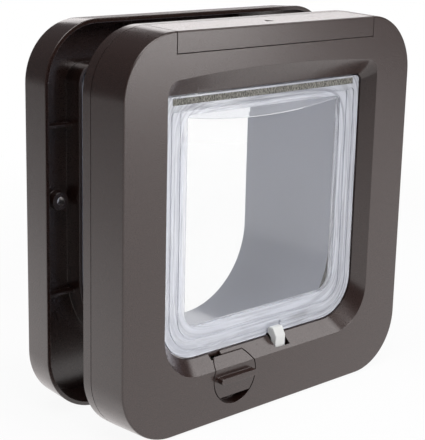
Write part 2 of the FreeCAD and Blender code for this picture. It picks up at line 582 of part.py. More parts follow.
def flap():
    """Clear leaf with a grooved rim, a thinner window and a hinge bar with two pins."""
    body = new_body("flap")
    slab(body, LEAF, "flap_depth", FLAP_BACK)
    hinge_line = ("hinge_depth", "hinge_height")
    rod(body, "x", hinge_line, "-(flap_half - bar_end)", "flap_half - bar_end", "hinge_bar")
    window_high = "(hinge_height - hinge_bar - band_height)"
    window = Outline("(flap_half - rim_width)", "(flap_low + sill_width)", window_high,
                     "window_corner", "window_corner * 0.3", "0")
    slab(body, window, "flap_depth", "flap_depth + window_recess", cut=True)
    slab(body, window, f"{FLAP_BACK} - window_recess", FLAP_BACK, cut=True)
    smile_end = "(flap_half - rim_width + 1)"
    smile = [(smile_end, f"{window_high} + 1"), (f"-{smile_end}", f"{window_high} + 1")]
    for step in range(-5, 6):
        drop = f"smile_middle - (smile_middle - smile_sides) * ({step} / 5)^2"
        smile.append((f"{step} / 5 * {smile_end}", f"{window_high} - ({drop})"))
    extrude(body, "XZ_Plane", smile, "-(flap_depth + 0.2)", "flap_thickness - 0.4", backwards=True)
    for inset in ("groove_first", "groove_second"):
        outer = Outline(f"(flap_half - {inset})", f"(flap_low + {inset})", "(hinge_height - groove_top)",
                        f"(flap_low_corner - {inset})", "flap_high_corner", "0")
        slab(body, outer, "flap_depth", "flap_depth + groove_depth",
             hole=grown(outer, "(-groove_width)"), cut=True)
    strip = ("-(flap_half - brush_end)", "flap_half - brush_end")
    block(body, strip, ("flap_depth - 1", "flap_depth + brush_depth"),
          (f"{BRUSH_MIDDLE} - brush_height / 2", f"{BRUSH_MIDDLE} + brush_height / 2"), cut=True)
    block(body, ("latch_across - latch_width / 2 - 2", "latch_across + latch_width / 2 + 2"),
          ("flap_depth - 1", "flap_depth + notch_depth"), ("flap_low - 1", "flap_low + latch_rise + 2"), cut=True)
    block(body, ("magnet_across - magnet_length / 2", "magnet_across + magnet_length / 2"),
          (f"{FLAP_BACK} - magnet_thickness", f"{FLAP_BACK} + 1"),
          ("flap_low + magnet_rise", "flap_low + magnet_rise + magnet_height"), cut=True)
    for sign in (1, -1):
        pin = grow_signed(sign, "flap_half - bar_end - 1", "flap_half + pin_length")
        rod(body, "x", ("hinge_depth", "hinge_height"), pin[0], pin[1], "pin_radius")
    return body


def top_brush():
    """Pile strip let into the front of the hinge bar."""
    body = new_body("top_brush")
    block(body, ("-(flap_half - brush_end - 0.1)", "flap_half - brush_end - 0.1"),
          ("flap_depth + 0.1", "flap_depth + brush_depth"),
          (f"{BRUSH_MIDDLE} - brush_height / 2 + 0.05", f"{BRUSH_MIDDLE} + brush_height / 2 - 0.05"))
    return body


def flap_magnet():
    """Bar magnet in the flap's lower rim."""
    body = new_body("flap_magnet")
    block(body, ("magnet_across - magnet_length / 2 + 0.05", "magnet_across + magnet_length / 2 - 0.05"),
          (f"{FLAP_BACK} - magnet_thickness", f"{FLAP_BACK} - 0.1"),
          ("flap_low + magnet_rise + 0.05", "flap_low + magnet_rise + magnet_height - 0.05"))
    return body


def frame_magnet():
    """Bar magnet under the sill, below the flap's magnet."""
    body = new_body("frame_magnet")
    block(body, ("magnet_across - magnet_length / 2", "magnet_across + magnet_length / 2"),
          (f"{THROAT} + 0.2", f"{THROAT} + 0.2 + magnet_height"),
          (f"{MAGNET_TOP} - magnet_thickness", MAGNET_TOP))
    return body


def hinge_bush(label, sign):
    """Plain bush that a hinge pin of the flap turns in."""
    body = new_body(label)
    span = grow_signed(sign, "flap_half + flap_play + 0.7", "flap_half + flap_play + 0.7 + bush_length")
    at = ("hinge_depth", "hinge_height")
    rod(body, "x", at, span[0], span[1], "pin_radius + pin_play + bush_wall")
    rod(body, "x", at, span[0], span[1], "pin_radius + pin_play", cut=True)
    return body


def indoor_latch():
    """White latch: a hook in front of the flap's rim on a stem that slides down."""
    body = new_body("indoor_latch")
    back = "latch_front + latch_stem"
    tip = "flap_depth + notch_depth - latch_play"
    top = "flap_low + latch_rise"
    profile = [
        ("latch_front", "latch_foot"),
        (back, "latch_foot"),
        (back, "flap_low - 1.8"),
        (tip, "flap_low + 0.4"),
        (tip, f"{top} - 1"),
        (f"{tip} - 1", top),
        ("latch_front + 2.6", top),
        ("latch_front", f"{top} - 4.4"),
    ]
    left = "latch_across - latch_width / 2"
    extrude(body, "YZ_Plane", profile, left, "latch_width")
    block(body, ("latch_across", "latch_across + plunger_across + 2.6"),
          ("latch_front + 0.4", f"{back} + 2.6"), ("latch_foot + 8", "latch_foot + 11"))
    return body


PLUNGER = ("latch_across + plunger_across", "latch_front + latch_stem")


def latch_plunger():
    """Steel plunger under the latch's arm."""
    body = new_body("latch_plunger")
    rod(body, "z", PLUNGER, "latch_foot + 8 - 9.6", "latch_foot + 8", "plunger_radius")
    return body


def latch_solenoid():
    """Coil and yoke that pull the plunger down."""
    body = new_body("latch_solenoid")
    low = "shell_wall + front_draft + 0.2"
    wide = (f"{PLUNGER[0]} - solenoid_side / 2", f"{PLUNGER[0]} + solenoid_side / 2")
    deep = (f"{PLUNGER[1]} - solenoid_side / 2 + 1.6", f"{PLUNGER[1]} + solenoid_side / 2 + 1.6")
    block(body, wide, deep, (low, f"{low} + solenoid_height"))
    rod(body, "z", PLUNGER, f"{low} + 0.4", f"{low} + solenoid_height + 1",
        "plunger_radius + pin_play", cut=True)
    return body


def latch_spring():
    """Compression spring that holds the latch up."""
    low = number("shell_wall + front_draft + 0.2")
    high = number("latch_foot") - 0.05
    wire = 0.35
    turns = 3
    height = high - low - 2 * wire
    radius = number("latch_stem") / 2 - wire
    steps = 12 * turns
    track = []
    for i in range(steps + 1):
        turned = FreeCAD.Rotation(FreeCAD.Vector(0, 0, 1), 360 * turns * i / steps)
        track.append(turned.multVec(FreeCAD.Vector(radius, 0, 0)) + FreeCAD.Vector(0, 0, height * i / steps))
    start = track[1] - track[0]
    sides = []
    for i in range(7):
        around = FreeCAD.Rotation(start, 60 * i)
        sides.append(track[0] + around.multVec(start.cross(FreeCAD.Vector(0, 0, 1)).normalize() * wire))
    section = Part.makePolygon(sides)
    coil = Part.makePolygon(track).makePipeShell([section], True, False, 1)
    spring = doc.addObject("Part::Feature", "latch_spring")
    spring.Shape = coil
    bind(spring, Base_x="latch_across", Base_y=f"latch_front + latch_stem / 2 - {MIDDLE}",
         Base_z=f"shell_wall + front_draft + 0.2 + {wire}")
    return spring


def lock_knob():
    """Round knob with a straight grip, cut to the surround's slope above and by a flat below."""
    body = new_body("lock_knob", x="-knob_across", z="knob_height")
    centre = ("0", "0")
    rod(body, "y", centre, "0", "knob_thickness", "knob_radius")
    block(body, ("-knob_radius - 1", "knob_radius + 1"), ("-1", "knob_thickness + 1"),
          ("-knob_radius - 1", "-knob_chord"), cut=True)
    run = "(flap_low - flap_play - opening_low) / reveal_depth"
    slope = [
        ("-1", f"opening_low - knob_height - {run}"),
        ("knob_thickness + 1", f"opening_low - knob_height + (knob_thickness + 1) * {run}"),
        ("knob_thickness + 1", "knob_radius + 2"),
        ("-1", "knob_radius + 2"),
    ]
    extrude(body, "YZ_Plane", slope, "knob_radius + 1", "2 * knob_radius + 2", cut=True)
    half = "grip_thickness / 2"
    block(body, (f"-(grip_half - {half})", f"grip_half - {half}"), ("-grip_proud", "1"), (f"-{half}", half))
    for end in (f"-(grip_half - {half})", f"grip_half - {half}"):
        rod(body, "y", (end, "0"), "-grip_proud", "1", half)
    end = "reveal_depth + bearing_depth + pinion_width + 2"
    rod(body, "y", centre, "knob_thickness - 1", end, "shaft_radius")
    return body


def lock_pinion():
    """Pinion on the knob's shaft."""
    body = new_body("lock_pinion", x="-knob_across", y=BAR_FRONT, z="knob_height")
    root = f"{PITCH} - 1.25 * tooth_module"
    rod(body, "y", ("0", "0"), "0", "pinion_width", root)
    thin = "tooth_play"
    flank = [
        (f"{root} - 0.4", f"0.80 * tooth_module - {thin}"),
        (PITCH, f"0.785 * tooth_module - {thin}"),
        (f"{PITCH} + 0.95 * tooth_module", f"0.34 * tooth_module - {thin}"),
    ]
    mirrored = [(x, f"-({y})") for x, y in reversed(flank)]
    tooth = extrude(body, "XZ_Plane", flank + mirrored, "0", "pinion_width", backwards=True)
    pattern = body.newObject("PartDesign::PolarPattern", "Teeth")
    pattern.Originals = [tooth]
    pattern.Axis = (tooth.Profile[0], ["N_Axis"])
    pattern.Angle = 360
    bind(pattern, Occurrences="pinion_teeth")
    body.Tip = pattern
    rod(body, "y", ("0", "0"), "-1", "pinion_width + 1", "shaft_radius + pin_play", cut=True)
    return body


def knob_clip():
    """Flat clip, pushed on from below, that keeps the pinion on the shaft."""
    body = new_body("knob_clip", x="-knob_across", y=f"{BAR_FRONT} + pinion_width + 0.15", z="knob_height")
    slot = "shaft_radius + pin_play"
    block(body, (f"-({slot} + 1.6)", f"{slot} + 1.6"), ("0", "0.8"),
          ("-(shaft_radius + 1)", "shaft_radius + 1.8"))
    block(body, (f"-({slot})", slot), ("-1", "2"), ("-(shaft_radius + 2)", slot), cut=True)
    return body


def lock_bar():
    """Bar with a rack on its right side, which the knob lifts behind the flap."""
    body = new_body("lock_bar", x=f"-{RACK_ROOT}", y=BAR_FRONT, z="knob_height")
    top = "bar_top - knob_height"
    block(body, ("-bar_width", "0"), ("0", "pinion_width"), (f"{top} - bar_length", top))
    pitch = "pi * tooth_module"
    lowest = f"(0.5 - rack_teeth + 1) * {pitch}"
    tip = "2.25 * tooth_module"
    profile = [
        ("-0.5", f"{lowest} - 1.24 * tooth_module + tooth_play"),
        ("0", f"{lowest} - 1.24 * tooth_module + tooth_play"),
        (tip, f"{lowest} - 0.42 * tooth_module + tooth_play"),
        (tip, f"{lowest} + 0.42 * tooth_module - tooth_play"),
        ("0", f"{lowest} + 1.24 * tooth_module - tooth_play"),
        ("-0.5", f"{lowest} + 1.24 * tooth_module - tooth_play"),
    ]
    tooth = extrude(body, "XZ_Plane", profile, "0", "pinion_width", backwards=True)
    pattern = body.newObject("PartDesign::LinearPattern", "Rack")
    pattern.Originals = [tooth]
    pattern.Direction = (tooth.Profile[0], ["V_Axis"])
    bind(pattern, Length=f"(rack_teeth - 1) * {pitch}", Occurrences="rack_teeth")
    body.Tip = pattern
    return body


TRAY_BACK = f"({PLATE_FRONT} - tray_back_gap)"
TRAY_INNER = "(tray_centre + tray_wall)"
TRAY_OUTER = "(tray_half - tray_wall)"
CELL_HEIGHT = "(tray_bottom + tray_wall + cell_radius + cell_play)"
CELL_ROWS = {"front": "(tray_front + tray_wall + cell_radius + cell_play)",
             "rear": f"({TRAY_BACK} - tray_wall - cell_radius - cell_play)"}
BUTTON = ("-5", f"(tray_front + {TRAY_BACK}) / 2")
LIGHT = ("6", f"(tray_front + {TRAY_BACK}) / 2")
BOARD_TOP = "(tray_bottom + 3.6)"
TRAY_DECK = "(tray_top - 1.6)"


def battery_tray():
    """Tray with two bays for the cells and a raised middle for the button and the light."""
    body = new_body("battery_tray")
    deep = ("tray_front", TRAY_BACK)
    block(body, ("-tray_half", "tray_half"), deep, ("tray_bottom", "tray_top"))
    inside = ("tray_front + tray_wall", f"{TRAY_BACK} - tray_wall")
    for sign in (1, -1):
        block(body, grow_signed(sign, TRAY_INNER, TRAY_OUTER), inside,
              ("tray_bottom + tray_wall", "tray_top + 1"), cut=True)
    block(body, ("-(tray_centre - tray_wall)", "tray_centre - tray_wall"), inside,
          ("tray_bottom - 1", TRAY_DECK), cut=True)
    rod(body, "z", BUTTON, f"{TRAY_DECK} - 1", "tray_top + 1", "button_radius + 0.1", cut=True)
    rod(body, "z", LIGHT, f"{TRAY_DECK} - 1", "tray_top + 1", "1.6", cut=True)
    return body


def battery_cell(label, sign, row):
    """One cell: its can and the small positive contact, which points to the middle."""
    body = new_body(label)
    at = (CELL_ROWS[row], CELL_HEIGHT)
    can = grow_signed(sign, f"{TRAY_INNER} + cell_nub + 0.45", f"{TRAY_INNER} + cell_nub + cell_length")
    nub = grow_signed(sign, f"{TRAY_INNER} + 0.45", f"{TRAY_INNER} + cell_nub + 1")
    rod(body, "x", at, can[0], can[1], "cell_radius")
    rod(body, "x", at, nub[0], nub[1], "cell_radius * 0.36")
    return body


def contact_plates():
    """Flat contacts that the cells' positive ends press on."""
    body = new_body("contact_plates")
    for sign in (1, -1):
        for row in CELL_ROWS.values():
            block(body, grow_signed(sign, f"{TRAY_INNER} + 0.02", f"{TRAY_INNER} + 0.4"),
                  (f"{row} - 4", f"{row} + 4"), ("tray_bottom + tray_wall + 0.3", f"{CELL_HEIGHT} + 3"))
    return body


def contact_springs():
    """Bent leaves that press on the cells' negative ends."""
    body = new_body("contact_springs")
    for sign in (1, -1):
        for row in CELL_ROWS.values():
            near = f"{sign} * ({TRAY_INNER} + cell_nub + cell_length + 0.05)"
            far = f"{sign} * ({TRAY_OUTER} - 0.02)"
            wire = f"{sign} * spring_leaf"
            leaf = [
                (far, f"{CELL_HEIGHT} - 5"),
                (far, f"{CELL_HEIGHT} + 4.6"),
                (f"{far} - {wire}", f"{CELL_HEIGHT} + 5"),
                (near, f"{CELL_HEIGHT} + 0.6"),
                (near, f"{CELL_HEIGHT} - 0.6"),
                (f"{near} + {wire}", f"{CELL_HEIGHT} - 0.4"),
                (f"{near} + {wire}", f"{CELL_HEIGHT} + 0.3"),
                (f"{far} - {wire}", f"{CELL_HEIGHT} + 3.9"),
                (f"{far} - {wire}", f"{CELL_HEIGHT} - 5"),
            ]
            extrude(body, "XZ_Plane", leaf, f"-({row} + spring_width / 2)", "spring_width")
    return body


def switch_board():
    """Small board under the button, held between the tray's middle walls."""
    body = new_body("switch_board")
    inside = ("tray_front + tray_wall + 0.1", f"{TRAY_BACK} - tray_wall - 0.1")
    block(body, ("-(tray_centre - tray_wall - 0.1)", "tray_centre - tray_wall - 0.1"), inside,
          (f"{BOARD_TOP} - board_thickness", BOARD_TOP))
    return body


def button_dome():
    """Rubber pad that returns the button."""
    body = new_body("button_dome")
    block(body, (f"{BUTTON[0]} - 2.6", f"{BUTTON[0]} + 2.6"), (f"{BUTTON[1]} - 2.6", f"{BUTTON[1]} + 2.6"),
          (BOARD_TOP, f"{TRAY_DECK} - 1.65"))
    return body


def settings_button():
    """Round push button with a flange under the tray's deck."""
    body = new_body("settings_button")
    rod(body, "z", BUTTON, f"{TRAY_DECK} - 1.6", f"{TRAY_DECK} - 0.05", "button_radius + 1")
    rod(body, "z", BUTTON, f"{TRAY_DECK} - 1", "tray_top + 1.2", "button_radius")
    return body


def status_light():
    """Round light guide that stands on the small board."""
    body = new_body("status_light")
    rod(body, "z", LIGHT, BOARD_TOP, "tray_top + 0.3", "1.5")
    return body


def circuit_board():
    """Control board on two feet of the rear housing, with its larger parts."""
    body = new_body("circuit_board")
    back = "(cover_depth - 4)"
    front = f"({back} - board_thickness)"
    block(body, ("board_left", "board_right"), (front, back), ("board_low", "board_high"))
    block(body, ("board_left + 3", "board_right - 3"), (f"{front} - 1.4", front),
          ("board_low + 18", "board_low + 28"))
    rod(body, "y", ("board_right - 5", "board_low + 38"), f"{front} - 7", front, "3")
    block(body, ("board_left + 3", "board_right - 4"), (f"{front} - 4", front),
          ("board_low + 4", "board_low + 9"))
    return body


def antenna_coil():
    """Winding round the throat, against the back plate."""
    body = new_body("antenna_coil")
    inner = grown(TUNNEL_SKIN, "coil_inner")
    slab(body, grown(inner, "coil_thickness"), f"{PLATE_FRONT} - 0.2 - coil_depth", f"{PLATE_FRONT} - 0.2",
         hole=inner)
    return body


def outdoor_frame():
    """Hollow shell for the outer side of the door, with a collar round the tunnel."""
    body = new_body("outdoor_frame")
    small = grown(FRAME, "(-outdoor_draft)")
    floor = f"({OUTDOOR_FACE} - shell_wall)"
    loft(body, (FRAME, OUTDOOR_RIM), (small, f"{OUTDOOR_FACE} - outdoor_round"),
         (grown(small, "(-0.29 * outdoor_round)"), f"{OUTDOOR_FACE} - 0.29 * outdoor_round"),
         (grown(small, "(-outdoor_round)"), OUTDOOR_FACE))
    loft(body, (grown(FRAME, "(-shell_wall)"), OUTDOOR_RIM), (grown(small, "(-shell_wall)"), floor), cut=True)
    slab(body, grown(SLEEVE, "tunnel_wall"), f"{floor} - sleeve_reach", floor)
    rib_front = f"{floor} - rib_height"
    outer = "frame_side / 2 - shell_wall / 2 - outdoor_draft / 2"
    for sign in (1, -1):
        across = grow_signed(sign, "flap_half", outer)
        for height in ("rib_low", "rib_high"):
            block(body, across, (rib_front, floor),
                  (f"{height} - rib_thickness / 2", f"{height} + rib_thickness / 2"))
        wide = (f"{sign} * rib_across - rib_thickness / 2", f"{sign} * rib_across + rib_thickness / 2")
        block(body, wide, (rib_front, floor), ("shell_wall / 2 + outdoor_draft / 2", "tunnel_floor"))
        block(body, wide, (rib_front, floor),
              ("tunnel_high", "frame_side - shell_wall / 2 - outdoor_draft / 2"))
        rod(body, "y", (f"{sign} * fix_across", "fix_height"), rib_front, floor, "fix_boss")
    slab(body, SLEEVE, OUTDOOR_RIM, OUTDOOR_FACE, cut=True)
    for sign in (1, -1):
        at = (f"{sign} * fix_across", "fix_height")
        rod(body, "y", at, OUTDOOR_RIM, f"{OUTDOOR_FACE} + 1", "fix_radius", cut=True)
        rod(body, "y", at, f"{OUTDOOR_FACE} - 3", f"{OUTDOOR_FACE} + 1", "fix_radius + 2", cut=True)
    return body


parts = [
    front_cover(),
    rear_housing(),
    tunnel(),
    battery_cover(),
    battery_tray(),
    battery_cell("cell_left_front", -1, "front"),
    battery_cell("cell_left_rear", -1, "rear"),
    battery_cell("cell_right_front", 1, "front"),
    battery_cell("cell_right_rear", 1, "rear"),
    contact_plates(),
    contact_springs(),
    switch_board(),
    button_dome(),
    settings_button(),
    status_light(),
    circuit_board(),
    antenna_coil(),
    flap(),
    top_brush(),
    flap_magnet(),
    frame_magnet(),
    hinge_bush("hinge_bush_left", -1),
    hinge_bush("hinge_bush_right", 1),
    indoor_latch(),
    latch_plunger(),
    latch_solenoid(),
    latch_spring(),
    lock_knob(),
    lock_pinion(),
    knob_clip(),
    lock_bar(),
    outdoor_frame(),
]
doc.recompute()

# Nothing is written unless every object is sound
faults = []
for item in doc.Objects:
    if "Invalid" in item.State or "Error" in item.State:
        faults.append(f"{item.Label}: {item.State}")
for part in parts:
    if part.Shape.isNull() or not part.Shape.isValid() or not part.Shape.Solids:
        faults.append(f"{part.Label}: bad shape")
if faults:
    print("\n".join(faults))
    sys.exit(1)

os.makedirs("parts", exist_ok=True)
for part in parts:
    part.Shape.exportStep(f"parts/{part.Label}.step")
    print(f"{part.Label}: {len(part.Shape.Solids)} solids, {part.Shape.Volume / 1000:.2f} cm3")
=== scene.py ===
import json
import math

import bmesh
import bpy
from mathutils import Matrix, Vector

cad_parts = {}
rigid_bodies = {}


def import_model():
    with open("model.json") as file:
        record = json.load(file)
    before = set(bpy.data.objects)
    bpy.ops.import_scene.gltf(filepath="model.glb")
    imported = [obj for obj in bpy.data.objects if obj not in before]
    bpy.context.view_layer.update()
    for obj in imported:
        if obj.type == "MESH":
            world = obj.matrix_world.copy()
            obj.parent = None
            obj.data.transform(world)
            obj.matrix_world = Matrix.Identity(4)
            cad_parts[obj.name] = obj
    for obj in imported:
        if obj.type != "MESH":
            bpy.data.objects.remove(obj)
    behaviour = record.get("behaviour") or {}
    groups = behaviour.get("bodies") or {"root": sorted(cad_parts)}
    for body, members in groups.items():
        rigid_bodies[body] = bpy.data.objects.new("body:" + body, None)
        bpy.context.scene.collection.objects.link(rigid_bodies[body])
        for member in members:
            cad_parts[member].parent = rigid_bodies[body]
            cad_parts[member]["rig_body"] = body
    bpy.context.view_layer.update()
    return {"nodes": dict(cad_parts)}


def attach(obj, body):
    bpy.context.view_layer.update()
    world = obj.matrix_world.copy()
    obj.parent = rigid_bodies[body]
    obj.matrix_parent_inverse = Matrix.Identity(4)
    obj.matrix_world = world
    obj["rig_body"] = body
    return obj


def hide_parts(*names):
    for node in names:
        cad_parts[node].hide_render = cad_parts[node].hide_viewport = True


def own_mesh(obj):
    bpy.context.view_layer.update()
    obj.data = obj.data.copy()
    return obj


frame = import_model()
nodes = frame["nodes"]
scene = bpy.context.scene


# Camera: where the photograph was taken from, found by matching the outlines of both frames.
# The face that looks indoors lies at FACE along Y, and places behind it are counted from there.
FACE = -0.04765
yaw, pitch, roll = (math.radians(angle) for angle in (43.12, -14.63, 1.35))
camera = bpy.data.objects.new("camera", bpy.data.cameras.new("camera"))
camera.data.lens = 103.8
camera.data.clip_start = 0.02
camera.matrix_world = (
    Matrix.Translation((-0.4707, FACE - 0.4533, 0.2748))
    @ Matrix.Rotation(-yaw, 4, "Z")
    @ Matrix.Rotation(math.radians(90) + pitch, 4, "X")
    @ Matrix.Rotation(roll, 4, "Z")
)
scene.collection.objects.link(camera)
scene.camera = camera
scene.view_settings.view_transform = "Standard"


# Studio: a white sweep that runs out of sight. A large softbox overhead and one at the front right
# light the object, two small ones at the right shape its edges, and one behind lights the back.
# The camera, glass and glossy surfaces see the sweep as white, and it keeps the object's shadow.
def linear(hex_colour):
    """An sRGB colour such as "6b625e" as linear red, green, blue and alpha."""
    channels = [int(hex_colour[i:i + 2], 16) / 255 for i in (0, 2, 4)]
    return [c / 12.92 if c <= 0.04045 else ((c + 0.055) / 1.055) ** 2.4 for c in channels] + [1.0]


def add_node(tree, kind, settings=None, **links):
    """A node with its settings; each link names an input, or _ and its number, and what feeds it."""
    node = tree.nodes.new(kind)
    for name, value in (settings or {}).items():
        if isinstance(name, int) or name in node.inputs:
            node.inputs[name].default_value = value
        else:
            setattr(node, name, value)
    for name, output in links.items():
        key = int(name[1:]) if name[1:].isdigit() else name.replace("_", " ")
        tree.links.new(output, node.inputs[key])
    return node


def blank_material(name):
    """A material, its tree, and the object's own coordinates in metres, which its pattern follows."""
    material = bpy.data.materials.new(name)
    material.use_nodes = True
    tree = material.node_tree
    tree.nodes.clear()
    place = add_node(tree, "ShaderNodeTexCoord")
    return material, tree, place.outputs["Object"]


def seen_directly(tree, gloss):
    """1 for rays from the camera or through glass, a share for those off a glossy surface, else 0."""
    path = add_node(tree, "ShaderNodeLightPath")
    some = add_node(tree, "ShaderNodeMath", {"operation": "MAXIMUM"},
                    _0=path.outputs["Is Camera Ray"], _1=path.outputs["Is Transmission Ray"])
    sheen = add_node(tree, "ShaderNodeMath", {"operation": "MULTIPLY"},
                     _0=path.outputs["Is Glossy Ray"], _1=gloss)
    return add_node(tree, "ShaderNodeMath", {"operation": "MAXIMUM"},
                    _0=some.outputs[0], _1=sheen.outputs[0]).outputs[0]


# The room beyond the sweep gives little light of its own, and shows dark in the gloss.
ROOM_LIGHT, ROOM_GLOSS = 0.1, 0.03
world = bpy.data.worlds.new("studio")
world.use_nodes = True
scene.world = world
sky = world.node_tree
sky.nodes.clear()
dim = add_node(sky, "ShaderNodeBackground", {"Color": linear("e8ebf2"), "Strength": ROOM_LIGHT})
white = add_node(sky, "ShaderNodeBackground", {"Color": linear("ffffff"), "Strength": 1.0})
room = add_node(sky, "ShaderNodeValue")
room.outputs[0].default_value = ROOM_GLOSS
both = add_node(sky, "ShaderNodeMixShader",
                _0=seen_directly(sky, room.outputs[0]), _1=dim.outputs[0], _2=white.outputs[0])
add_node(sky, "ShaderNodeOutputWorld", Surface=both.outputs[0])

bm = bmesh.new()
bmesh.ops.create_circle(bm, cap_ends=True, segments=96, radius=9)
sweep = bpy.data.meshes.new("sweep")
bm.to_mesh(sweep)
bm.free()
floor = bpy.data.objects.new("floor", sweep)
scene.collection.objects.link(floor)

# Glossy surfaces see the sweep white round POOL and dark beyond it, and it fades between the two
# distances. The camera sees it white all over, with a little of the shadow in it near the object.
POOL, POOL_START, POOL_END, POOL_DARK = (0.15, -0.1, 0.0), 0.4, 0.7, 0.05
WHITE_NEAR = 0.93
white_sweep, tree, place = blank_material("white_sweep")
matt = add_node(tree, "ShaderNodeBsdfDiffuse", {"Color": linear("f2f2f2")})
glow = add_node(tree, "ShaderNodeEmission", {"Color": linear("ffffff"), "Strength": 1.0})
far = add_node(tree, "ShaderNodeVectorMath", {"operation": "DISTANCE", 1: POOL}, _0=place)
pool = add_node(tree, "ShaderNodeMapRange", {
    "From Min": POOL_START, "From Max": POOL_END, "To Min": 1.0, "To Max": POOL_DARK},
    Value=far.outputs["Value"])
fade = add_node(tree, "ShaderNodeMapRange", {
    "From Min": POOL_START, "From Max": POOL_END, "To Min": WHITE_NEAR, "To Max": 1.0},
    Value=far.outputs["Value"])
share = add_node(tree, "ShaderNodeMath", {"operation": "MULTIPLY"},
                 _0=fade.outputs["Result"], _1=seen_directly(tree, pool.outputs["Result"]))
both = add_node(tree, "ShaderNodeMixShader", _0=share.outputs[0], _1=matt.outputs[0], _2=glow.outputs[0])
add_node(tree, "ShaderNodeOutputMaterial", Surface=both.outputs[0])
sweep.materials.append(white_sweep)


def softbox(name, place, aim, width, height, power):
    """A rectangular lamp that looks at a point."""
    lamp = bpy.data.lights.new(name, "AREA")
    lamp.shape = "RECTANGLE"
    lamp.size = width
    lamp.size_y = height
    lamp.energy = power
    holder = bpy.data.objects.new(name, lamp)
    holder.location = place
    holder.rotation_euler = (Vector(aim) - Vector(place)).to_track_quat("-Z", "Y").to_euler()
    scene.collection.objects.link(holder)


softbox("overhead", (-0.35, -0.3, 1.45), (0, 0, 0.1), 1.1, 1.1, 15)
softbox("front", (0.5, -1.6, 1.2), (0, 0, 0.1), 0.9, 0.9, 15)
softbox("right_high", (1.0, -0.5, 1.1), (0, 0, 0.1), 0.5, 0.5, 2.2)
softbox("low", (0.77, -1.11, 0.14), (0, 0, 0.15), 0.4, 0.25, 1.4)
softbox("behind", (1.2, 1.4, 0.7), (0, 0, 0.15), 1.0, 0.6, 2.8)


# Front cover: the moulded shell that is seen first, with the sloping surround of the flap. Brown ABS
# from a finely etched mould, screwed to the rear housing from behind. The etching gives it a soft
# sheen, and its edges have a small radius.
# The colour is uneven in patches of about 45 mm. A real etching is under 0.1 mm, and is drawn
# coarser, at 0.45 mm, so that it shows.
PATCHES, UNEVEN, ETCHING = 22.0, 0.06, 0.00045


def etched_plastic(name, colour, roughness, grain=ETCHING, depth=0.15, coat=0.0):
    """Moulded plastic: faint cloudiness in the colour, fine etched grain in the gloss and surface."""
    material, tree, place = blank_material(name)
    cloud = add_node(tree, "ShaderNodeTexNoise", {"Scale": PATCHES, "Detail": 2.0}, Vector=place)
    tint = add_node(tree, "ShaderNodeMix", {"data_type": "RGBA"}, _0=cloud.outputs["Fac"])
    tint.inputs[6].default_value = [c * (1 - UNEVEN) for c in linear(colour)[:3]] + [1.0]
    tint.inputs[7].default_value = [c * (1 + UNEVEN) for c in linear(colour)[:3]] + [1.0]
    etch = add_node(tree, "ShaderNodeTexNoise", {"Scale": 1 / grain, "Detail": 3.0, "Roughness": 0.6},
                    Vector=place)
    gloss = add_node(tree, "ShaderNodeMapRange", {"To Min": roughness - 0.05, "To Max": roughness + 0.05},
                     Value=etch.outputs["Fac"])
    relief = add_node(tree, "ShaderNodeBump", {"Strength": depth, "Distance": 0.0001},
                      Height=etch.outputs["Fac"])
    skin = add_node(tree, "ShaderNodeBsdfPrincipled", {
        "IOR": 1.53, "Coat Weight": coat, "Coat Roughness": 0.2, "Coat Tint": linear("fff3f1")},
        Base_Color=tint.outputs[2], Roughness=gloss.outputs["Result"], Normal=relief.outputs["Normal"])
    add_node(tree, "ShaderNodeOutputMaterial", Surface=skin.outputs[0])
    return material


# In a copy of a CAD node, corners nearer than ONE_POINT are joined and faces within ONE_FACE are made
# one. Edges sharper than an angle are rounded, and edges still sharper than CREASE are shaded sharp.
ONE_POINT, ONE_FACE, CREASE = 2e-6, math.radians(0.6), math.radians(38)


def softened(node, radius, material, angle=28, segments=2):
    """A copy of a CAD node with its triangles joined and, with a radius, its sharp edges rounded."""
    bm = bmesh.new()
    bm.from_mesh(nodes[node].data)
    bmesh.ops.remove_doubles(bm, verts=bm.verts, dist=ONE_POINT)
    bmesh.ops.dissolve_limit(bm, angle_limit=ONE_FACE, verts=bm.verts, edges=bm.edges)
    if radius:
        sharp = [e for e in bm.edges if e.is_manifold and e.calc_face_angle() > math.radians(angle)]
        bmesh.ops.bevel(bm, geom=sharp, offset=radius, offset_type="OFFSET", segments=segments,
                        profile=0.5, affect="EDGES", clamp_overlap=True, material=-1)
    mesh = bpy.data.meshes.new(node + "_skin")
    bm.to_mesh(mesh)
    bm.free()
    mesh.shade_smooth()
    mesh.set_sharp_from_angle(angle=CREASE)
    mesh.materials.append(material)
    piece = bpy.data.objects.new(node + "_skin", mesh)
    scene.collection.objects.link(piece)
    even = piece.modifiers.new("even", "WEIGHTED_NORMAL")
    even.keep_sharp = True
    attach(piece, nodes[node]["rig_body"])
    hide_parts(node)
    return piece


brown_abs = etched_plastic("brown_abs", "2b1d19", 0.28, coat=0.8)
softened("front_cover", 0.0004, brown_abs)


# Battery cover: a lid flush with the front cover's top and face, moulded in the same brown ABS.
# Hidden catches hold it, and it lifts straight off. Its arrow recess leaves room for a small radius.
softened("battery_cover", 0.00015, brown_abs)


# Rear housing: the back plate, seen as a rim behind the seam, with the throat that the flap closes.
# It is moulded in the brown ABS and stands against the indoor side of the door.
softened("rear_housing", 0.0003, brown_abs)


# Tunnel: a straight sleeve that the cat walks through, from the rear housing into the outdoor frame.
# It is ABS from a polished mould and shows no grain. Its pale bluish-grey colour is a painted
# reflection of the white around it.
tunnel_painted_reflection = etched_plastic("tunnel_painted_reflection", "c8cbd8", 0.16, grain=0.02, depth=0.0)
softened("tunnel", 0.0003, tunnel_painted_reflection)


# Outdoor frame: a hollow moulding of the brown ABS that slides on the tunnel to suit the door. Its
# inside is left as the ribs and bosses of the mould, in deep shade.
softened("outdoor_frame", 0.0004, brown_abs)


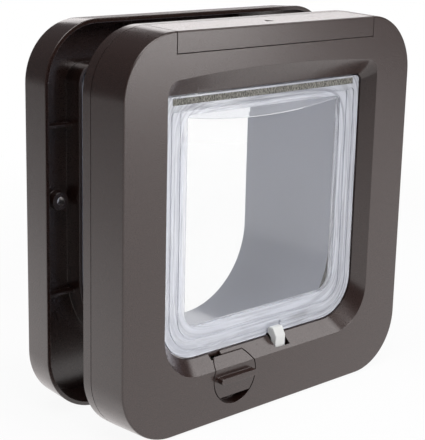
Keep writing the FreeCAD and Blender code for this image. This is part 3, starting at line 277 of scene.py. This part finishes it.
# Flap: injection-moulded clear polycarbonate with a thick grooved rim and a thin window, hung on two
# pins. The thick rim gathers light and looks milky, with streaks that run round it. The window has
# only a faint haze, and the band above it bends light like a lens.
# The flow of the plastic shows in ripples about 9 mm wide. In the rim they are LINES_ACROSS times as
# close, and run in lines a few centimetres long, in circles about WINDOW_MIDDLE that the power
# SQUARENESS makes into rounded squares.
RIPPLES, SQUARENESS, LINES_ACROSS, LINES_ALONG = 110.0, 7.0, 6.0, 0.25
WINDOW_MIDDLE = (0.0, 0.0, 0.110)


def clear_plastic(name, tint, body, haze, roughness, ripple=0.05, middle=None, spread=0.0):
    """Clear plastic: its body bends light, a share of it is milky, and the rest lets light straight by.

    Its ripples follow the flow lines about the middle, where one is given, and spread says how much
    of the body is left out between them.
    """
    material, tree, line = blank_material(name)
    if middle:
        from_middle = add_node(tree, "ShaderNodeVectorMath", {"operation": "SUBTRACT", 1: middle}, _0=line)
        sides = add_node(tree, "ShaderNodeSeparateXYZ", Vector=from_middle.outputs[0])
        powers = []
        for axis in ("X", "Z"):
            reach = add_node(tree, "ShaderNodeMath", {"operation": "ABSOLUTE"}, _0=sides.outputs[axis])
            powers.append(add_node(tree, "ShaderNodeMath", {"operation": "POWER", 1: SQUARENESS},
                                   _0=reach.outputs[0]))
        total = add_node(tree, "ShaderNodeMath", {"operation": "ADD"},
                         _0=powers[0].outputs[0], _1=powers[1].outputs[0])
        ring = add_node(tree, "ShaderNodeMath", {"operation": "POWER", 1: 1 / SQUARENESS},
                        _0=total.outputs[0])
        across = add_node(tree, "ShaderNodeMath", {"operation": "MULTIPLY", 1: LINES_ACROSS},
                          _0=ring.outputs[0])
        ends = add_node(tree, "ShaderNodeMath", {"operation": "ADD"},
                        _0=sides.outputs["X"], _1=sides.outputs["Z"])
        along = add_node(tree, "ShaderNodeMath", {"operation": "MULTIPLY", 1: LINES_ALONG},
                         _0=ends.outputs[0])
        line = add_node(tree, "ShaderNodeCombineXYZ",
                        X=across.outputs[0], Y=sides.outputs["Y"], Z=along.outputs[0]).outputs[0]
    flow = add_node(tree, "ShaderNodeTexNoise", {
        "Scale": RIPPLES, "Detail": 2.0, "Distortion": 0.3 if middle else 1.5}, Vector=line)
    relief = add_node(tree, "ShaderNodeBump", {"Strength": ripple, "Distance": 0.0008},
                      Height=flow.outputs["Fac"])
    skin = add_node(tree, "ShaderNodeBsdfPrincipled", {
        "Base Color": linear(tint), "Roughness": roughness, "IOR": 1.58, "Transmission Weight": 1 - haze,
        "Alpha": body}, Normal=relief.outputs["Normal"])
    if spread:
        cloud = add_node(tree, "ShaderNodeMapRange", {
            "From Min": 0.38, "From Max": 0.62, "To Min": body - spread, "To Max": body},
            Value=flow.outputs["Fac"])
        tree.links.new(cloud.outputs["Result"], skin.inputs["Alpha"])
    add_node(tree, "ShaderNodeOutputMaterial", Surface=skin.outputs[0])
    return material


# The window and the band are the flap's flat faces at these depths, front and back.
WINDOW_DEPTHS = (FACE + 0.0093, FACE + 0.0113)
BAND_DEPTHS = (FACE + 0.0087, FACE + 0.0119)
SQUARE_ON, SAME_DEPTH = 0.99, 0.0001
clear_rim = clear_plastic("clear_polycarbonate_rim", "eef0f8", 1.0, 0.58, 0.06, 0.6, WINDOW_MIDDLE, 0.45)
clear_window = clear_plastic("clear_polycarbonate_window", "ffffff", 0.08, 1.0, 0.05, ripple=0.02)
clear_band = clear_plastic("clear_polycarbonate_band", "f6f7fb", 0.95, 0.08, 0.02, ripple=0.1)
flap = softened("flap", 0.00045, clear_rim, segments=3)
for plastic, depths in ((clear_window, WINDOW_DEPTHS), (clear_band, BAND_DEPTHS)):
    flap.data.materials.append(plastic)
    for face in flap.data.polygons:
        away = min(abs(face.center.y - depth) for depth in depths)
        if abs(face.normal.y) > SQUARE_ON and away < SAME_DEPTH:
            face.material_index = len(flap.data.materials) - 1


# Pile strip: short brown-grey nylon pile along the flap's hinge bar, which keeps draughts out.
# Its tufts are speckled, with a painted highlight at their tips and painted shade between them. They are
# about
# 0.45 mm wide along the bar, 0.7 mm deep and 1.1 mm high, given here as how many go to a metre.
TUFTS = (2200.0, 1400.0, 900.0)
pile, tree, place = blank_material("nylon_pile")
tuft = add_node(tree, "ShaderNodeMapping", {"Scale": TUFTS}, Vector=place)
fleck = add_node(tree, "ShaderNodeTexNoise", {"Scale": 1.0, "Detail": 3.0}, Vector=tuft.outputs[0])
shade = add_node(tree, "ShaderNodeValToRGB", Fac=fleck.outputs["Fac"])
# The ramp's dark end is painted shade between the tufts, and its light end a painted highlight on their
# tips.
between, tips = shade.color_ramp.elements
between.position, between.color = 0.34, linear("35332e")
tips.position, tips.color = 0.68, linear("a6a39a")
relief = add_node(tree, "ShaderNodeBump", {"Strength": 0.9, "Distance": 0.0004}, Height=fleck.outputs["Fac"])
skin = add_node(tree, "ShaderNodeBsdfPrincipled", {"Roughness": 0.9, "Sheen Weight": 0.4},
                Base_Color=shade.outputs[0], Normal=relief.outputs["Normal"])
add_node(tree, "ShaderNodeOutputMaterial", Surface=skin.outputs[0])
softened("top_brush", 0.0002, pile)


# Latch: a small white hook on a stem that slides in the cover's slot, moulded in acetal.
# Acetal comes smooth from the mould and has a soft waxy shine.
white_acetal = etched_plastic("white_acetal", "e4e4e2", 0.35, depth=0.05)
softened("indoor_latch", 0.0005, white_acetal, segments=3)


# Lock knob: a round knob with a straight grip, moulded in the brown ABS.
# It turns in a round pocket of the front cover, and a clip behind keeps its shaft in.
softened("lock_knob", 0.0004, brown_abs, segments=3)


# Hinge bushes, pinion and lock bar: plain bearings and gearing moulded in natural acetal,
# which is off-white, a little waxy, and runs without grease.
def finish(material, *names):
    """CAD nodes that keep their shape get a better material."""
    for name in names:
        for slot in nodes[name].material_slots:
            slot.material = material


natural_acetal = etched_plastic("natural_acetal", "d8d3c4", 0.32, grain=0.0008, depth=0.05)
finish(natural_acetal, "hinge_bush_left", "hinge_bush_right", "lock_pinion", "lock_bar")


# Battery tray: a moulding under the battery cover, with a bay for two cells on each side.
# It is black ABS with a plain dull etching, as it is hardly ever seen.
black_abs = etched_plastic("black_abs", "1e1c1b", 0.42, grain=0.0006)
finish(black_abs, "battery_tray")


# Battery cells: a steel can in a printed plastic sleeve, bare at both ends. The sleeve is dark green
# with a light band beside the positive end, which points to the middle of the tray. The sleeve's
# ends are given from that middle, and the print is worn in specks of about 1 mm.
SLEEVE_START, SLEEVE_END, LIGHT_BAND, SPECKS = 0.0176, 0.0589, 0.0105, 900.0


def bands(tree, distance, *ends):
    """1 or 0 by turns along a distance, changing at each end."""
    share = None
    for end in ends:
        past = add_node(tree, "ShaderNodeMath", {"operation": "GREATER_THAN", 1: end}, _0=distance)
        if share is None:
            share = past
        else:
            share = add_node(tree, "ShaderNodeMath", {"operation": "SUBTRACT"},
                             _0=share.outputs[0], _1=past.outputs[0])
    return share.outputs[0]


cell_wrap, tree, place = blank_material("printed_cell_sleeve")
axes = add_node(tree, "ShaderNodeSeparateXYZ", Vector=place)
along = add_node(tree, "ShaderNodeMath", {"operation": "ABSOLUTE"}, _0=axes.outputs["X"])
sleeve = bands(tree, along.outputs[0], SLEEVE_START, SLEEVE_END)
light = bands(tree, along.outputs[0], SLEEVE_START, SLEEVE_START + LIGHT_BAND)
ink = add_node(tree, "ShaderNodeMix", {"data_type": "RGBA"}, _0=light)
ink.inputs[6].default_value = linear("1f3d30")
ink.inputs[7].default_value = linear("b9b48e")
colour = add_node(tree, "ShaderNodeMix", {"data_type": "RGBA"}, _0=sleeve, _7=ink.outputs[2])
colour.inputs[6].default_value = linear("b8b8b6")
bare = add_node(tree, "ShaderNodeMath", {"operation": "SUBTRACT", 0: 1.0}, _1=sleeve)
wear = add_node(tree, "ShaderNodeTexNoise", {"Scale": SPECKS, "Detail": 4.0}, Vector=place)
gloss = add_node(tree, "ShaderNodeMapRange", {"To Min": 0.18, "To Max": 0.34}, Value=wear.outputs["Fac"])
skin = add_node(tree, "ShaderNodeBsdfPrincipled", Base_Color=colour.outputs[2], Metallic=bare.outputs[0],
                Roughness=gloss.outputs["Result"])
add_node(tree, "ShaderNodeOutputMaterial", Surface=skin.outputs[0])
finish(cell_wrap, "cell_left_front", "cell_left_rear", "cell_right_front", "cell_right_rear")


# Small metal pieces: contacts of nickel-plated strip at the ends of the cells, a ground steel plunger
# and a zinc-plated clip on the knob's shaft. Fine scratches spread their shine. Each material says how
# many go to a metre along X, Y and Z, fewer than there really are, so that they show.
def brushed_metal(name, colour, roughness, scratches):
    """Plated or ground metal, with scratches in its gloss, its surface and its colour."""
    material, tree, place = blank_material(name)
    stretch = add_node(tree, "ShaderNodeMapping", {"Scale": scratches}, Vector=place)
    scratch = add_node(tree, "ShaderNodeTexNoise", {"Scale": 1.0, "Detail": 4.0}, Vector=stretch.outputs[0])
    gloss = add_node(tree, "ShaderNodeMapRange", {"To Min": roughness - 0.08, "To Max": roughness + 0.12},
                     Value=scratch.outputs["Fac"])
    relief = add_node(tree, "ShaderNodeBump", {"Strength": 0.12, "Distance": 0.00005},
                      Height=scratch.outputs["Fac"])
    tint = add_node(tree, "ShaderNodeMix", {"data_type": "RGBA"}, _0=scratch.outputs["Fac"])
    tint.inputs[6].default_value = [c * 0.85 for c in linear(colour)[:3]] + [1.0]
    tint.inputs[7].default_value = linear(colour)
    skin = add_node(tree, "ShaderNodeBsdfPrincipled", {"Metallic": 1.0}, Base_Color=tint.outputs[2],
                    Roughness=gloss.outputs["Result"], Normal=relief.outputs["Normal"])
    add_node(tree, "ShaderNodeOutputMaterial", Surface=skin.outputs[0])
    return material


nickel_plate = brushed_metal("nickel_plate", "c9c4b4", 0.24, (6000.0, 900.0, 900.0))
zinc_plate = brushed_metal("zinc_plate", "b9bdc2", 0.34, (2500.0, 2500.0, 2500.0))
ground_steel = brushed_metal("ground_steel", "a9abae", 0.28, (900.0, 900.0, 7000.0))
finish(nickel_plate, "contact_plates", "contact_springs")
finish(zinc_plate, "knob_clip")
finish(ground_steel, "latch_plunger")


def pressed(node, material):
    """A springy piece: a copy of its CAD node, not rounded, with a mesh of its own."""
    piece = softened(node, 0, material)
    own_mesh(piece)


pressed("latch_spring", ground_steel)


# Magnets: one in the flap's lower rim and one under the sill below it, which pull the flap shut.
# They are sintered ferrite bars, dull dark grey with a fine open grain.
ferrite = etched_plastic("sintered_ferrite", "37383c", 0.6, grain=0.0003, depth=0.4)
finish(ferrite, "flap_magnet", "frame_magnet")


# Antenna coil: enamelled copper wire wound in a flat ring round the throat. The turns lie side by
# side through its depth, WIRE apart, so they show as fine lines all the way round.
WIRE = 0.00035
copper, tree, place = blank_material("enamelled_copper")
axes = add_node(tree, "ShaderNodeSeparateXYZ", Vector=place)
phase = add_node(tree, "ShaderNodeMath", {"operation": "MULTIPLY", 1: 2 * math.pi / WIRE},
                 _0=axes.outputs["Y"])
turns = add_node(tree, "ShaderNodeMath", {"operation": "SINE"}, _0=phase.outputs[0])
relief = add_node(tree, "ShaderNodeBump", {"Strength": 0.6, "Distance": 0.0001}, Height=turns.outputs[0])
enamel = add_node(tree, "ShaderNodeTexNoise", {"Scale": 120.0, "Detail": 2.0}, Vector=place)
tint = add_node(tree, "ShaderNodeMix", {"data_type": "RGBA"}, _0=enamel.outputs["Fac"])
tint.inputs[6].default_value = linear("8a3d1f")
tint.inputs[7].default_value = linear("b9602f")
skin = add_node(tree, "ShaderNodeBsdfPrincipled", {"Metallic": 0.8, "Roughness": 0.3, "Coat Weight": 0.5},
                Base_Color=tint.outputs[2], Normal=relief.outputs["Normal"])
add_node(tree, "ShaderNodeOutputMaterial", Surface=skin.outputs[0])
finish(copper, "antenna_coil")


# Circuit boards: glass fibre under a green solder mask with lighter traces, about 2.4 mm apart. The
# control board's parts stand in front of it, and are black or dark grey.
TRACES, NO_PARTS = (420.0, 420.0, 420.0), -1.0


def circuit(name, parts_before):
    """Solder mask with traces, and dark parts wherever the depth is less than the value given."""
    material, tree, place = blank_material(name)
    flat = add_node(tree, "ShaderNodeMapping", {"Scale": TRACES}, Vector=place)
    trace = add_node(tree, "ShaderNodeTexVoronoi", {"feature": "F1", "distance": "MANHATTAN"},
                     Vector=flat.outputs[0])
    edge = add_node(tree, "ShaderNodeMath", {"operation": "GREATER_THAN", 1: 0.42},
                    _0=trace.outputs["Distance"])
    mask = add_node(tree, "ShaderNodeMix", {"data_type": "RGBA"}, _0=edge.outputs[0])
    mask.inputs[6].default_value = linear("14492f")
    mask.inputs[7].default_value = linear("2a7049")
    axes = add_node(tree, "ShaderNodeSeparateXYZ", Vector=place)
    part = add_node(tree, "ShaderNodeMath", {"operation": "LESS_THAN", 1: parts_before},
                    _0=axes.outputs["Y"])
    colour = add_node(tree, "ShaderNodeMix", {"data_type": "RGBA"}, _0=part.outputs[0], _6=mask.outputs[2])
    colour.inputs[7].default_value = linear("1c1c1e")
    skin = add_node(tree, "ShaderNodeBsdfPrincipled", {"Roughness": 0.35, "IOR": 1.5},
                    Base_Color=colour.outputs[2])
    add_node(tree, "ShaderNodeOutputMaterial", Surface=skin.outputs[0])
    return material


BOARD_THICKNESS, HAIR = 0.0016, 0.00005
board = nodes["circuit_board"]
board_back = max((board.matrix_world @ Vector(corner)).y for corner in board.bound_box)
finish(circuit("control_board", board_back - BOARD_THICKNESS - HAIR), "circuit_board")
finish(circuit("button_board", NO_PARTS), "switch_board")


# Button and light: a grey ABS push button that a soft silicone pad returns, and a frosted acrylic
# guide that carries the board's light up to the deck. The lid covers both.
finish(etched_plastic("grey_abs", "8b8884", 0.38), "settings_button")
silicone = etched_plastic("silicone_pad", "2a2a2c", 0.75, grain=0.001, depth=0.1)
pressed("button_dome", silicone)
finish(clear_plastic("frosted_acrylic", "f2f6f2", 0.9, 0.35, 0.35), "status_light")


# Solenoid: a wound bobbin in a small yoke, which pulls the latch's plunger down.
# Black polyester tape covers the winding, and gives it a smooth low sheen.
finish(etched_plastic("black_coil_tape", "1a1a1c", 0.3, grain=0.0009, depth=0.1), "latch_solenoid")


# Housing screws: four pan heads with a cross recess, zinc-plated, in the back plate's round recesses.
# They hold the rear housing to the front cover's posts.
# HEAD is the head's outline, as radius and height over its seat. The recess is a cross with arms
# ARM to each side and ARM_END long, and it narrows by TAPER towards its floor.
SCREW_PLACES = [(side * 0.091, height) for side in (-1, 1) for height in (0.030, 0.182)]
SEAT = FACE + 0.0289
HEAD = [(0.0028, 0.0), (0.0028, 0.0005), (0.0025, 0.0009), (0.0020, 0.0011)]
ARM, ARM_END, ARM_DEPTH, TAPER = 0.0003, 0.0014, 0.0008, 0.6

bm = bmesh.new()
for x, z in SCREW_PLACES:
    upright = Matrix.Translation((x, SEAT, z)) @ Matrix.Rotation(math.radians(-90), 4, "X")
    rings = []
    for radius, height in HEAD:
        made = bmesh.ops.create_circle(bm, segments=32, radius=radius,
                                       matrix=upright @ Matrix.Translation((0, 0, height)))
        rings.append(list({edge for vert in made["verts"] for edge in vert.link_edges}))
    bmesh.ops.contextual_create(bm, geom=rings[0])
    for lower, upper in zip(rings, rings[1:]):
        bmesh.ops.bridge_loops(bm, edges=lower + upper)
    cross = []
    for quarter in range(4):
        turn = upright @ Matrix.Rotation(math.radians(90 * quarter), 4, "Z")
        for corner in ((ARM, ARM), (ARM_END, ARM), (ARM_END, -ARM)):
            cross.append(bm.verts.new(turn @ Vector((*corner, HEAD[-1][1]))))
    recess = bm.faces.new(cross)
    bmesh.ops.triangle_fill(bm, use_beauty=True, use_dissolve=False, edges=rings[-1] + list(recess.edges))
    bottom = bmesh.ops.extrude_discrete_faces(bm, faces=[recess])["faces"][0]
    sunk = Matrix.Translation((0, 0, -ARM_DEPTH)) @ Matrix.Diagonal((TAPER, TAPER, 1, 1))
    bmesh.ops.transform(bm, matrix=upright @ sunk @ upright.inverted(), verts=bottom.verts)
bmesh.ops.recalc_face_normals(bm, faces=bm.faces)
mesh = bpy.data.meshes.new("housing_screws")
bm.to_mesh(mesh)
bm.free()
mesh.shade_smooth()
mesh.set_sharp_from_angle(angle=math.radians(35))
mesh.materials.append(zinc_plate)
housing_screws = bpy.data.objects.new("housing_screws", mesh)
scene.collection.objects.link(housing_screws)
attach(housing_screws, nodes["rear_housing"]["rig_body"])
